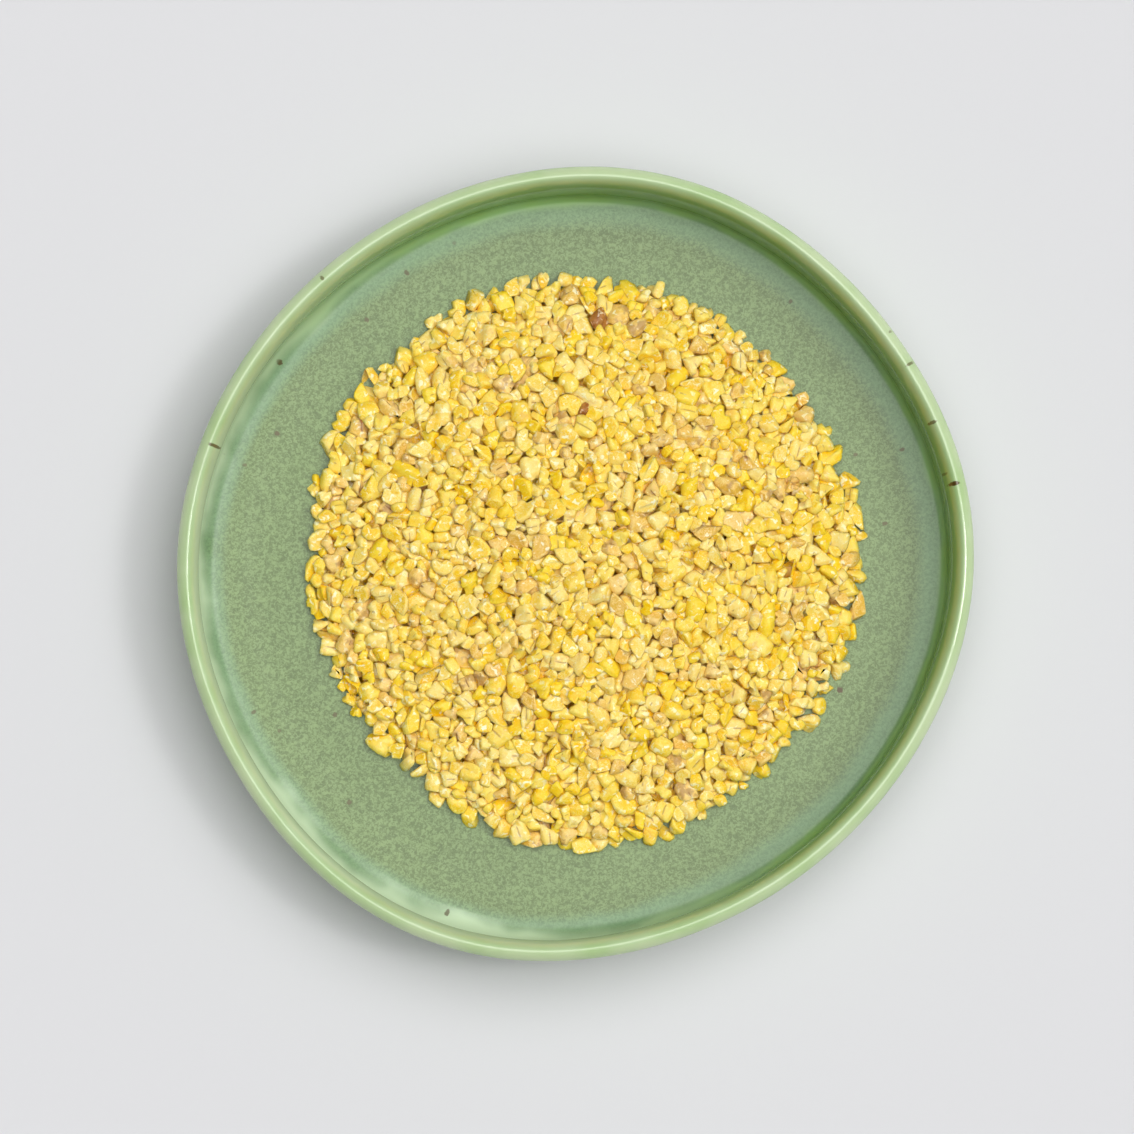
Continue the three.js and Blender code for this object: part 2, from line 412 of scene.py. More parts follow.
def section_mesh():
    """The section as a chain of points that know how far from the top of the lip they are,
    outwards below zero and inwards above it."""
    points, lip_top = dish_section(cove_size, wall_undercut)
    wide_points = dish_section(wide_cove, wide_undercut)[0]
    lengths = np.cumsum([0] + [(b - a).length for a, b in zip(points, points[1:])])
    mesh = bpy.data.meshes.new("dish_section")
    edges = [(i, i + 1) for i in range(len(points) - 1)]
    mesh.from_pydata([(p.x, 0, p.y) for p in points], edges, [])
    layer = mesh.attributes.new("from_lip", "FLOAT", "POINT")
    layer.data.foreach_set("value", lengths - lengths[lip_top])
    layer = mesh.attributes.new("wide", "FLOAT_VECTOR", "POINT")
    layer.data.foreach_set("vector", [c for p in wide_points for c in (p.x, 0, p.y)])
    return mesh


# Specks of iron in the glaze: x, y, length towards the middle and width, all in millimetres,
# and darkness.
iron_specks = [
    (59.9, 12.5, 1.5, 0.55, 1.0), (-57.2, 18.4, 1.7, 0.45, 0.8), (42.6, -19.7, 0.9, 0.75, 1.0),
    (-47.4, 32.9, 0.85, 0.7, 0.9), (-40.2, 45.0, 0.7, 0.5, 0.6), (-47.8, 21.5, 0.8, 0.6, 0.8),
    (-27.0, 47.4, 0.8, 0.6, 0.7), (-33.4, 39.8, 0.7, 0.6, 0.6), (-21.6, 58.6, 0.9, 0.4, 0.6),
    (-52.9, 16.4, 0.6, 0.5, 0.5), (45.2, 18.2, 0.6, 0.5, 0.6), (52.7, 19.0, 0.8, 0.5, 0.7),
    (49.9, 7.1, 0.7, 0.55, 0.7), (34.8, 42.9, 0.6, 0.5, 0.6), (50.0, 36.8, 0.8, 0.4, 0.4),
    (53.1, 31.6, 1.4, 0.4, 0.6), (56.5, 22.2, 1.1, 0.45, 0.7), (58.5, 14.1, 0.7, 0.4, 0.4),
    (-20.4, -55.4, 1.0, 0.6, 0.7), (-38.4, -23.7, 0.7, 0.6, 0.6), (-51.4, -23.3, 0.7, 0.55, 0.6),
    (-47.3, -26.3, 0.5, 0.5, 0.4), (-36.1, -37.7, 0.7, 0.6, 0.6),
]


def iron_speckle(tree, place, upward):
    """How much iron shows at a place: the specks above where upward is 1, and fine ones strewn
    all over."""
    blur = tree.noise(place, 2600.0, 2.0) - 0.5
    large = 0.0
    for x, y, length, width, dark in iron_specks:
        local = tree.node(
            "ShaderNodeMapping",
            {"vector_type": "TEXTURE"},
            {
                "Vector": place,
                "Location": (x * mm, y * mm, 0),
                "Rotation": (0, 0, math.atan2(y, x)),
                "Scale": (length * mm * 0.6, width * mm * 0.6, 1000),
            },
        )
        spot = (1 - (tree.length(local) + blur * 1.1).rise(0.75, 1.25)) * (0.3 + 0.7 * dark)
        large = spot.math("MAXIMUM", large, spot)
    cells = tree.node("ShaderNodeTexVoronoi", None, {"Vector": place, "Scale": 160.0})
    chance = tree.node("ShaderNodeSeparateColor", None, {0: cells.other("Color")})
    fine = (1 - cells.rise(0.03, 0.07)) * chance.rise(0.86, 0.9) * 0.5
    return large * upward + fine


def new_finish(name):
    """A material and its tree, with nothing in it yet."""
    material = bpy.data.materials.new(name)
    material.use_nodes = True
    material.node_tree.nodes.clear()
    return material, Tree(material.node_tree)


# The bands of the glaze, by the way over the dish's surface from the top of the lip: where
# each sets in and where it is full. What is below zero is outside.
lip_band = ((-4.2 * mm, -1.6 * mm), (-1.2 * mm, 3.6 * mm))
pool_band = ((15.6 * mm, 16.9 * mm), (17.6 * mm, 21 * mm))
upright_band = ((3.4 * mm, 4.4 * mm), (15.2 * mm, 16 * mm))
specks_from = (-2 * mm, -1 * mm)
lit_pale_from = (0 * mm, 2 * mm)
dimples_from = (2 * mm, 4 * mm)
satin_wall_from = (3.5 * mm, 7 * mm)
satin_floor_from = (13.5 * mm, 15.5 * mm)
floor_from = (15.7 * mm, 17.1 * mm)
mint_until = (17.5 * mm, 20.5 * mm)
clay_below = (1.0 * mm, 1.35 * mm)

# The side of the dish whose inner wall faces the light. There that wall is painted pale, as it looks where
# light falls on it (painted light), and the pool lies higher. Given as a direction whose length is how
# fast the change comes on.
lit_side = (-14.0, -8.0, 0)


def glaze_finish():
    """Celadon over grey stoneware: colour by how thick the glaze lies, the wall on the side that faces
    the light painted pale as painted light, a leathery mottle on the floor, iron specks, and bare
    clay under the foot ring."""
    material, tree = new_finish("celadon_glaze")
    place = tree.node("ShaderNodeTexCoord").other("Object")
    height = tree.node("ShaderNodeSeparateXYZ", None, {0: place}).other("Z")
    from_lip = tree.node("ShaderNodeAttribute", {"attribute_name": "from_lip"}).other("Fac")

    cream = (0.53, 0.65, 0.38, 1)
    lit_wall_pale = (0.58, 0.73, 0.49, 1)
    thin_green = (0.3, 0.52, 0.22, 1)
    deep_green = (0.27, 0.48, 0.14, 1)
    olive = (0.077, 0.132, 0.017, 1)
    grey_green = (0.195, 0.295, 0.09, 1)
    turquoise = (0.22, 0.4, 0.2, 1)
    mint = (0.2, 0.365, 0.21, 1)
    clay = (0.42, 0.33, 0.22, 1)
    dark_clay = (0.25, 0.18, 0.11, 1)
    iron = (0.085, 0.05, 0.006, 1)

    # The edges of the bands wander, widely and finely.
    drift = tree.noise(place, 38.0, 2.0) - 0.5
    run = tree.noise(place, 130.0, 2.0) - 0.5
    where = from_lip + drift * (3 * mm) + run * (1.6 * mm)

    fine = tree.noise(place, 2300.0, 2.0, 0.55, 0.9)
    coarse = tree.noise(place, 700.0, 2.0, 0.5, 0.6)
    mottle = (fine.rise(0.38, 0.62) * 0.85 + coarse.rise(0.35, 0.65) * 0.15) + drift * 0.25
    floor = tree.blend(mottle, olive, grey_green)

    side = tree.along(place, lit_side).rise(-0.3, 0.8)
    wall = tree.blend((run + 0.5).rise(0.3, 0.75), deep_green, thin_green)
    # Painted light: the wall on the side that faces the light is painted pale, as it looks where light
    # falls on it.
    wall = tree.blend(side * where.rise(*lit_pale_from), wall, lit_wall_pale)
    foot_of_wall = where + side * (0.3 * mm)
    colour = tree.blend(foot_of_wall.rise(*floor_from), wall, floor)

    pool_end = (where + side * (2.2 * mm)).rise(*pool_band[1])
    pool = foot_of_wall.rise(*pool_band[0]) * (1 - pool_end)
    pool_colour = tree.blend(side * (1 - where.rise(*mint_until)), turquoise, mint)
    colour = tree.blend(pool * (0.62 + drift * 0.8 + (fine - 0.5) * 0.5), colour, pool_colour)

    thin = where.rise(*lip_band[0]) * (1 - where.rise(*lip_band[1]))
    colour = tree.blend(thin * (0.85 + run * 1.2), colour, cream)

    on_upright = from_lip.rise(*upright_band[0]) * (1 - from_lip.rise(*upright_band[1]))
    speckle = iron_speckle(tree, place, from_lip.rise(*specks_from) * (1 - on_upright))
    colour = tree.blend(speckle, colour, iron)

    bare = 1 - (height + run * (0.3 * mm)).rise(*clay_below)
    grog = tree.noise(place, 1500.0, 3.0).rise(0.35, 0.65)
    colour = tree.blend(bare, colour, tree.blend(grog * 0.6, clay, dark_clay))

    satin = from_lip.rise(*satin_wall_from) * 0.16 + from_lip.rise(*satin_floor_from) * 0.14
    dimple = tree.noise(place, 520.0, 2.0) + 0.35 * fine * where.rise(*dimples_from)
    bump = tree.node(
        "ShaderNodeBump", None, {"Height": dimple, "Strength": 0.12, "Distance": 0.1 * mm}
    )
    shader = tree.node(
        "ShaderNodeBsdfPrincipled",
        None,
        {
            "Base Color": colour,
            "Roughness": 0.08 + satin + bare * 0.4 + speckle * 0.1,
            "IOR": 1.55,
            "Normal": bump,
        },
    )
    tree.node("ShaderNodeOutputMaterial", None, {"Surface": shader})
    return material


dish = shaped_by(
    dish_tree(),
    section_mesh(),
    "celadon_dish",
    {
        "Points round": points_round + 1,
        "Throwing marks": throwing_marks,
        "Hand unevenness": hand_unevenness,
        "Glaze": glaze_finish(),
    },
)
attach(dish, "root")
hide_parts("dish")


# ======== The heap's core ========
# The grains in the middle of the heap, which nothing shows but the gaps between those on top.
# They are one golden body with a grain-sized relief, low enough to lie under two layers of
# loose grains.

heap_radius = 44.8 * mm
heap_height = 8.6 * mm
heap_centre = Vector((1.4 * mm, 1.1 * mm, 0))
heap_steepness = 0.8
grain_relief = 1.3 * mm
heap_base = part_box("bulgur")[0].z

# How the heap's edge bulges: count, size, angle of a crest.
heap_waves = [(2, 0.77 * mm, -76), (3, 0.28 * mm, 15), (4, 0.4 * mm, -3), (5, 0.11 * mm, -12)]

core_depth = 5.2 * mm
core_relief = 0.7 * mm
core_clearance = 0.05 * mm
core_reach = 0.93
core_rings = 34
core_spokes = 150


def heap_reach(angle):
    """How far the heap reaches from its centre."""
    waves = (size * np.cos(count * (angle - math.radians(crest))) for count, size, crest in heap_waves)
    return heap_radius + sum(waves)


def heap_share(x, y):
    """How far out in the heap a place is: 0 in its middle and 1 on its edge."""
    dx = x - heap_centre.x
    dy = y - heap_centre.y
    return np.hypot(dx, dy) / heap_reach(np.arctan2(dy, dx))


def heap_top(x, y):
    """The height of the heap's top at a place."""
    fall = np.clip(1 - heap_share(x, y) ** 2, 0, 1) ** heap_steepness
    return heap_base + grain_relief + (heap_height - grain_relief) * fall


def core_height(x, y):
    """The top of the core, which runs out on the floor before the heap does."""
    return np.maximum(heap_top(x, y) - core_depth, floor_height)


def core_mesh():
    """Rings of points from the core's edge to its middle, closed underneath."""
    shape = bmesh.new()
    rng = np.random.default_rng(3)
    loops = []
    for ring in range(core_rings):
        share = core_reach * (1 - ring / core_rings)
        loop = []
        for spoke in range(core_spokes):
            angle = math.tau * (spoke + 0.5 * (ring % 2)) / core_spokes
            reach = share * heap_reach(angle)
            x = heap_centre.x + reach * math.cos(angle)
            y = heap_centre.y + reach * math.sin(angle)
            lift = rng.uniform(0, core_relief) if ring else 0
            loop.append(shape.verts.new((x, y, core_height(x, y) + core_clearance + lift)))
        loops.append(loop)
    top = core_height(heap_centre.x, heap_centre.y)
    middle = shape.verts.new((heap_centre.x, heap_centre.y, top))
    for i in range(core_spokes):
        j = (i + 1) % core_spokes
        for outer, inner in zip(loops, loops[1:]):
            shape.faces.new((outer[i], outer[j], inner[j], inner[i]))
        shape.faces.new((loops[-1][i], loops[-1][j], middle))
    shape.faces.new(list(reversed(loops[0])))
    mesh = bpy.data.meshes.new("bulgur_core")
    shape.to_mesh(mesh)
    shape.free()
    mesh.shade_smooth()
    return mesh


def wheat_finish(name, colours, bran_share=0.0, clear=1.0):
    """Steamed and dried wheat, waxy and a little translucent: cloudy veins in the kernel, white starch
    spots that also stand as painted glints, pale edges that are partly rubbed and partly painted glow
    of light coming through the grain, bran left on the skin, and a red-brown line down in the crease.
    The colours are the kernel's, the vein's, the edge's and the bran's."""
    material, tree = new_finish(name)
    kernel, vein, edge, bran = colours
    starch_and_glint_white = (1.0, 0.93, 0.66, 1)
    crease_brown = (0.3, 0.11, 0.03, 1)
    place = tree.node("ShaderNodeTexCoord").other("Object")

    def mark(attribute):
        return tree.node("ShaderNodeAttribute", {"attribute_name": attribute}).other("Fac")

    tint = mark("tint")
    cloud = tree.noise(place, 620.0, 3.0, 0.6, 1.4)
    wrinkle = tree.noise(place, 1500.0, 3.0, 0.6, 1.2) - 0.5
    ridge = 1 - wrinkle.math("ABSOLUTE", wrinkle).rise(0.0, 0.08)
    # White starch spots, which also stand as painted glints: patches of painted highlight on the grains.
    starch_and_glint = tree.noise(place, 1150.0, 2.0, 0.5, 0.6).rise(0.58, 0.66)
    grit = tree.noise(place, 3600.0, 2.0, 0.6)
    veined = (cloud * 0.6 + grit * 0.4 + (tint - 0.5) * 0.35).rise(0.38, 0.62)
    colour = tree.blend(veined, kernel, vein)
    colour = tree.blend(ridge * (cloud.rise(0.38, 0.6) * 0.7 + 0.2), colour, edge)
    colour = tree.blend(starch_and_glint * 0.85, colour, starch_and_glint_white)
    # Pale edges: partly rubbed wear, and partly painted light, the glow where light comes out through the
    # grain's edges.
    colour = tree.blend(mark("rubbed_glow").rise(0.55, 1.05) * 0.45, colour, edge)
    patch = tree.noise(place, 430.0, 3.0, 0.6)
    patch = patch.rise(0.62 - 0.2 * bran_share, 0.72 - 0.14 * bran_share)
    skin = mark("skin") * patch * (0.25 + 0.75 * bran_share)
    colour = tree.blend(skin, colour, bran)
    crease = mark("crease").rise(0.72, 1.0) * tree.noise(place, 400.0, 2.0).rise(0.46, 0.56)
    colour = tree.blend(crease * (0.5 + 0.5 * bran_share), colour, crease_brown)
    relief = cloud * 0.8 + ridge * 0.2 + grit * 0.6
    bump = tree.node(
        "ShaderNodeBump", None, {"Height": relief, "Strength": 0.3, "Distance": 0.4 * mm}
    )
    shader = tree.node(
        "ShaderNodeBsdfPrincipled",
        None,
        {
            "Base Color": colour,
            "Roughness": 0.02 + 0.18 * cloud + skin * 0.2,
            "IOR": 1.42,
            "Subsurface Weight": 0.7 * clear,
            "Subsurface Radius": (1.0, 1.0, 0.7),
            "Subsurface Scale": 0.25 * mm,
            "Normal": bump,
        },
    )
    tree.node("ShaderNodeOutputMaterial", None, {"Surface": shader})
    return material


core = bpy.data.objects.new("bulgur_core", core_mesh())
bpy.context.scene.collection.objects.link(core)
core.data.materials.append(
    wheat_finish(
        "wheat_in_the_heap",
        [(0.98, 0.5, 0.002, 1), (0.98, 0.56, 0.006, 1), (0.99, 0.62, 0.02, 1), (0.7, 0.35, 0.06, 1)],
        clear=0.0,
    )
)
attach(core, "root")
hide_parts("bulgur")


# ======== The grains ========
# Wheat kernels, steamed, dried and cracked between rollers into two, three or four pieces.
# What was outside is round and has the kernel's crease, and what was inside is a flat break
# with rubbed edges. The pieces lie two or three deep, as they fell.

kernel_length = 6.4 * mm
kernel_width = 3.6 * mm
kernel_height = 3.1 * mm
kernel_bluntness = 0.42
crease_depth = 0.95 * mm
crease_reach = 0.35 * mm

# The stock of shapes. Lengths are in millimetres: the usual one with its spread, and the range
# of the chips and of the whole ones. The chances are those of a split lengthwise and of a
# corner that is broken off.
shape_count = 56
chip_every = 5
whole_every = 14
usual_length = (3.05, 0.4)
chip_length = (1.4, 1.9)
whole_length = (4.6, 5.4)
split_chance = 0.55
chip_split_chance = 0.25
corner_chance = 0.3

# The cracks. Across the kernel they are tilted by some degrees, and beyond the blunt tip, a
# share of its length, there are none. Splits and corners lie off its middle by a share of its
# height.
end_tilt = 19
blunt_tip = 0.46
split_tilt = 12
split_place = (0.05, 0.22)
corner_place = (0.24, 0.34)

# The wear of the breaks: what counts as a sharp edge and as a broad face, how deep the middle
# of a broad face lies in millimetres, and how round and rough the piece is in the end.
edge_wear = 0.3 * mm
smallest_edge = 0.3 * mm
sharp_angle = math.radians(28)
broad_face = 1.2 * mm * mm
face_hollow = (-0.04, 0.1)
roundness = 0.22
roughness = 0.045 * mm
# The bend at which an edge counts as fully rubbed and gets the full pale edge, which is partly painted
# glow of light.
rubbed_glow_angle = 0.9

# How the grains lie. They settle at a share of their shape's size, the last ones at that of
# the fillers, and are grown when they lie, which closes the gaps. Leans are in degrees, the
# edge's spread is in millimetres, and a stray lies further out by a share of the heap.
grain_size = 0.865
filler_size = 0.7
size_spread = 0.1
size_limits = (0.53, 1.07)
grown = 1.17
flat_share = 0.84
flat_lean = 20
nod = 16
edge_gap = 1.15 * mm
edge_spread = 0.75
stray_share = 0.1
stray_reach = 0.03
proud = 0.75 * mm
sink = 0.22 * mm

# The heap is full when its patience ends: every grain that finds no room takes one off, and
# one that does gives some back.
grain_limit = 3600
patience = 300
regained = 20

# How a grain finds its place, on a grid of heights: it tries some spots, starts from the
# lowest few and rolls on from each for as long as it gets lower.
settle_cell = 0.25 * mm
settle_margin = 5 * mm
shape_reach = 3.3 * mm
upright_normal = 0.02
tried_spots = 70
starts = 4
rolls = 6
roll_cells = 2
least_fall = 0.02 * mm


def whole_kernel():
    """A kernel lying along X with its crease underneath, as a loose shape to be cracked."""
    ring_angles = [-90, -62, -26, 14, 52, 90, 128, 166, 206, 242]
    stations = 8
    shape = bmesh.new()
    rings = []
    for station in range(1, stations):
        along = -math.cos(math.pi * station / stations)
        girth = (1 - along * along) ** kernel_bluntness
        ring = []
        for angle in ring_angles:
            side = 0.5 * kernel_width * girth * math.cos(math.radians(angle))
            up = 0.5 * kernel_height * girth * math.sin(math.radians(angle))
            if angle == ring_angles[0]:
                up += crease_depth * girth
            ring.append(shape.verts.new((0.5 * kernel_length * along, side, up)))
        rings.append(ring)
    count = len(ring_angles)
    for near, far in zip(rings, rings[1:]):
        for i in range(count):
            j = (i + 1) % count
            shape.faces.new((near[i], far[i], far[j], near[j]))
    for ring, tip_x in ((rings[0], -0.5), (rings[-1], 0.5)):
        tip = shape.verts.new((tip_x * kernel_length, 0, 0))
        for i in range(count):
            shape.faces.new((ring[i], ring[(i + 1) % count], tip))
    bmesh.ops.recalc_face_normals(shape, faces=shape.faces)
    return shape


def crack(shape, point, normal, broken):
    """Takes off what lies beyond a plane, and closes the break with a flat face."""
    everything = shape.verts[:] + shape.edges[:] + shape.faces[:]
    cut = bmesh.ops.bisect_plane(
        shape, geom=everything, plane_co=point, plane_no=normal, clear_outer=True
    )
    rim = [e for e in cut["geom_cut"] if isinstance(e, bmesh.types.BMEdge)]
    for face in bmesh.ops.holes_fill(shape, edges=rim)["faces"]:
        face[broken] = 1


def tilted(rng, direction, spread):
    """A direction turned aside by a random angle."""
    aside = Vector(rng.normal(0, math.tan(math.radians(spread)), 3))
    return (Vector(direction) + aside).normalized()


def cracked_piece(rng, length, lengthwise, corner):
    """One piece of a kernel: a slice of it, perhaps split lengthwise, perhaps short of a corner."""
    shape = whole_kernel()
    broken = shape.faces.layers.int.new("broken")
    free = 0.5 * (kernel_length - length)
    middle = rng.uniform(-free, free) if free > 0 else 0.0
    for side in (-1, 1):
        end = middle + side * length / 2
        if abs(end) < blunt_tip * kernel_length:
            crack(shape, (end, 0, 0), tilted(rng, (side, 0, 0), end_tilt), broken)
    if lengthwise:
        around = rng.uniform(0, math.tau)
        out = Vector((0, math.cos(around), math.sin(around)))
        point = out * rng.uniform(*split_place) * kernel_height
        crack(shape, point + Vector((middle, 0, 0)), tilted(rng, out, split_tilt), broken)
    if corner:
        around = rng.uniform(0, math.tau)
        out = Vector((rng.choice((-1, 1)), math.cos(around), math.sin(around))).normalized()
        point = out * rng.uniform(*corner_place) * kernel_height
        crack(shape, point + Vector((middle, 0, 0)), out, broken)
    bmesh.ops.remove_doubles(shape, verts=shape.verts, dist=smallest_edge)
    bmesh.ops.recalc_face_normals(shape, faces=shape.faces)
    sharp = [
        e
        for e in shape.edges
        if len(e.link_faces) == 2
        and any(f[broken] for f in e.link_faces)
        and e.calc_face_angle() > sharp_angle
    ]
    bmesh.ops.bevel(
        shape, geom=sharp, offset=edge_wear, segments=1, affect="EDGES", clamp_overlap=True
    )
    for face in [f for f in shape.faces if f[broken] and f.calc_area() > broad_face]:
        hollow = rng.uniform(*face_hollow) * mm
        bmesh.ops.inset_individual(shape, faces=[face], thickness=edge_wear, depth=hollow)
    bmesh.ops.delete(shape, geom=[v for v in shape.verts if not v.link_faces], context="VERTS")
    every_way = {"use_axis_x": True, "use_axis_y": True, "use_axis_z": True}
    bmesh.ops.smooth_vert(shape, verts=shape.verts, factor=roundness, **every_way)
    for vert in shape.verts:
        vert.co += Vector(rng.normal(0, roughness, 3))
    return shape, broken


def piece_as_mesh(shape, broken, name):
    """Marks what is skin, crease and rubbed edge, whose paleness is partly wear and partly painted glow of
    light through the grain, lays the piece flat on its middle, and also gives the planes of its hull, each
    as a normal and a distance."""
    shape.normal_update()
    marks = {"skin": [], "crease": [], "rubbed_glow": []}
    for vert in shape.verts:
        skin = sum(1 - f[broken] for f in vert.link_faces) / len(vert.link_faces)
        bends = [e.calc_face_angle(0) for e in vert.link_edges if len(e.link_faces) == 2]
        in_crease = abs(vert.co.y) < crease_reach and vert.co.z < 0
        marks["skin"].append(skin)
        marks["crease"].append(skin if in_crease else 0.0)
        marks["rubbed_glow"].append(min(1.0, max(bends) / rubbed_glow_angle))
    places = np.array([v.co for v in shape.verts])
    places -= places.mean(axis=0)
    axes = np.linalg.eigh(np.cov(places.T))[1][:, ::-1]
    axes[:, 2] *= np.sign(np.linalg.det(axes))
    places = places @ axes
    places -= (places.max(axis=0) + places.min(axis=0)) / 2
    for vert, place in zip(shape.verts, places):
        vert.co = place
    mesh = bpy.data.meshes.new(name)
    shape.to_mesh(mesh)
    mesh.shade_smooth()
    for mark, values in marks.items():
        layer = mesh.attributes.new(mark, "FLOAT", "POINT")
        layer.data.foreach_set("value", values)
    hull = bmesh.ops.convex_hull(shape, input=shape.verts)["geom"]
    faces = [f for f in hull if isinstance(f, bmesh.types.BMFace)]
    shape.normal_update()
    planes = []
    for face in faces:
        reach = face.normal.dot(face.verts[0].co)
        planes.append((*(face.normal * math.copysign(1, reach)), abs(reach)))
    shape.free()
    return mesh, np.array(planes)


def make_shapes(rng):
    """The stock of cracked shapes and their hulls: most are stubby, every fifth is a chip, and
    every fourteenth keeps most of a kernel's length."""
    stock = bpy.data.collections.new("cracked_shapes")
    hulls = []
    for number in range(shape_count):
        length = rng.normal(*usual_length) * mm
        lengthwise = rng.random() < split_chance
        if number % whole_every == 0:
            length = rng.uniform(*whole_length) * mm
        elif number % chip_every == 1:
            length = rng.uniform(*chip_length) * mm
            lengthwise = rng.random() < chip_split_chance
        shape, broken = cracked_piece(rng, length, lengthwise, rng.random() < corner_chance)
        name = f"cracked_{number:02d}"
        mesh, hull = piece_as_mesh(shape, broken, name)
        stock.objects.link(bpy.data.objects.new(name, mesh))
        hulls.append(hull)
    return stock, hulls


class Settling:
    """The top of the heap as it grows, as heights over a square grid."""

    def __init__(self, rng):
        self.rng = rng
        reach = heap_radius + settle_margin
        self.count = int(2 * reach / settle_cell)
        line = (np.arange(self.count) + 0.5) * settle_cell - reach
        self.x, self.y = np.meshgrid(line + heap_centre.x, line + heap_centre.y, indexing="ij")
        self.goal = heap_top(self.x, self.y)
        self.share = heap_share(self.x, self.y)
        over_core = self.goal - core_depth > floor_height
        self.top = core_height(self.x, self.y) + core_relief * over_core

    def profile(self, planes, turn, size):
        """The under and upper side of a turned shape, cell by cell."""
        normals = planes[:, :3] @ np.array(turn).T
        offsets = planes[:, 3] * size
        half = int(np.ceil(shape_reach * size / settle_cell))
        line = np.arange(-half, half + 1) * settle_cell
        x, y = np.meshgrid(line, line, indexing="ij")
        reach = offsets[:, None, None] - normals[:, 0, None, None] * x - normals[:, 1, None, None] * y
        upward = normals[:, 2] > upright_normal
        downward = normals[:, 2] < -upright_normal
        level = ~(upward | downward)
        upper = (reach[upward] / normals[upward, 2, None, None]).min(axis=0)
        under = (reach[downward] / normals[downward, 2, None, None]).max(axis=0)
        inside = (upper > under) & (reach[level] > 0).all(axis=0)
        cells = np.argwhere(inside) - half
        keep = min(half, int(np.abs(cells).max()) + 1)
        middle = slice(half - keep, half + keep + 1)
        under = np.where(inside, under, np.inf)[middle, middle]
        upper = np.where(inside, upper, -np.inf)[middle, middle]
        return keep, under, upper

    def rest(self, i, j, half, under):
        """The height at which the shape comes to rest with its middle over a cell."""
        window = self.top[i - half : i + half + 1, j - half : j + half + 1]
        return float((window - under).max())

    def drop(self, planes, turn, size, allowed):
        """Lets the shape find the lowest place of several within a share of the heap, or gives
        None where it would stand proud."""
        half, under, upper = self.profile(planes, turn, size)
        spots = self.rng.integers(half, self.count - half, (tried_spots, 2))
        spots = spots[self.share[spots[:, 0], spots[:, 1]] < allowed]
        if not len(spots):
            return None
        room = self.goal[spots[:, 0], spots[:, 1]] - self.top[spots[:, 0], spots[:, 1]]
        best = None
        steps = (-roll_cells, 0, roll_cells)
        for i, j in spots[np.argsort(-room)[:starts]]:
            i, j = int(i), int(j)
            level = self.rest(i, j, half, under)
            for _ in range(rolls):
                ways = [(i + a, j + b) for a in steps for b in steps if a or b]
                ways = [w for w in ways if half <= min(w) and max(w) < self.count - half]
                ways = [w for w in ways if self.share[w] < allowed]
                lower = min(((self.rest(*w, half, under), w) for w in ways), default=(level, None))
                if lower[0] >= level - least_fall:
                    break
                level, (i, j) = lower
            over = level + float(upper.max()) - self.goal[i, j]
            if best is None or over < best[0]:
                best = (over, level, i, j)
        over, level, i, j = best
        if over > proud:
            return None
        window = (slice(i - half, i + half + 1), slice(j - half, j + half + 1))
        self.top[window] = np.maximum(self.top[window], level + upper)
        return Vector((self.x[i, j], self.y[i, j], level - sink))


def fill_heap(rng, hulls):
    """Drops grains until the heap has reached its height, and gives their places, turns, sizes
    and shapes. Smaller ones fill it up at the end."""
    heap = Settling(rng)
    grains = []
    refused = 0
    while len(grains) < grain_limit and refused < patience:
        number = int(rng.integers(len(hulls)))
        usual = filler_size if refused > patience / 2 else grain_size
        size = float(np.clip(rng.normal(usual, size_spread), *size_limits))
        flat = rng.random() < flat_share
        lean = math.radians(rng.normal(0, flat_lean) if flat else rng.uniform(-90, 90))
        turn = Euler((lean, math.radians(rng.normal(0, nod)), 0)).to_matrix()
        turn = Matrix.Rotation(rng.uniform(0, math.tau), 3, "Z") @ turn
        gap = edge_gap + abs(rng.normal(0, edge_spread)) * mm
        stray = stray_reach if rng.random() < stray_share else 0
        spot = heap.drop(hulls[number], turn, size, 1 - gap / heap_radius + stray)
        if spot is None:
            refused += 1
            continue
        refused = max(0, refused - regained)
        grains.append((spot, turn.to_euler(), size, number))
    return grains


def strewing_tree():
    """Puts a cracked shape on every point and gives each grain a tint of its own."""
    tree, given = new_tree(
        "strewn grains",
        {
            "Places": "NodeSocketGeometry",
            "Shapes": "NodeSocketCollection",
            "Grain size": "NodeSocketFloat",
            "Seed": "NodeSocketInt",
            "Finish": "NodeSocketMaterial",
        },
        "Grains",
    )
    node = tree.node

    def mark(name, kind):
        return node("GeometryNodeInputNamedAttribute", {"data_type": kind}, {"Name": name})

    shapes = node(
        "GeometryNodeCollectionInfo",
        {"transform_space": "ORIGINAL"},
        {"Collection": given.other("Shapes"), "Separate Children": True, "Reset Children": True},
    )
    tint = node(
        "FunctionNodeRandomValue", {"data_type": "FLOAT"}, {"Seed": given.other("Seed")}, out=1
    )
    tinted = node(
        "GeometryNodeStoreNamedAttribute",
        {"data_type": "FLOAT", "domain": "POINT"},
        {"Geometry": given.other("Places"), "Name": "tint", "Value": tint},
    )
    size = mark("size", "FLOAT") * given.other("Grain size")
    grains = node(
        "GeometryNodeInstanceOnPoints",
        None,
        {
            "Points": tinted,
            "Instance": shapes,
            "Pick Instance": True,
            "Instance Index": mark("shape", "INT"),
            "Rotation": node("FunctionNodeEulerToRotation", None, {0: mark("turn", "FLOAT_VECTOR")}),
            "Scale": node("ShaderNodeCombineXYZ", None, {0: size, 1: size, 2: size}),
        },
    )
    grains = node("GeometryNodeRealizeInstances", None, {"Geometry": grains})
    grains = node("GeometryNodeSetMaterial", None, {"Geometry": grains, "Material": given.other("Finish")})
    node("NodeGroupOutput", None, {0: grains})
    return tree.owner


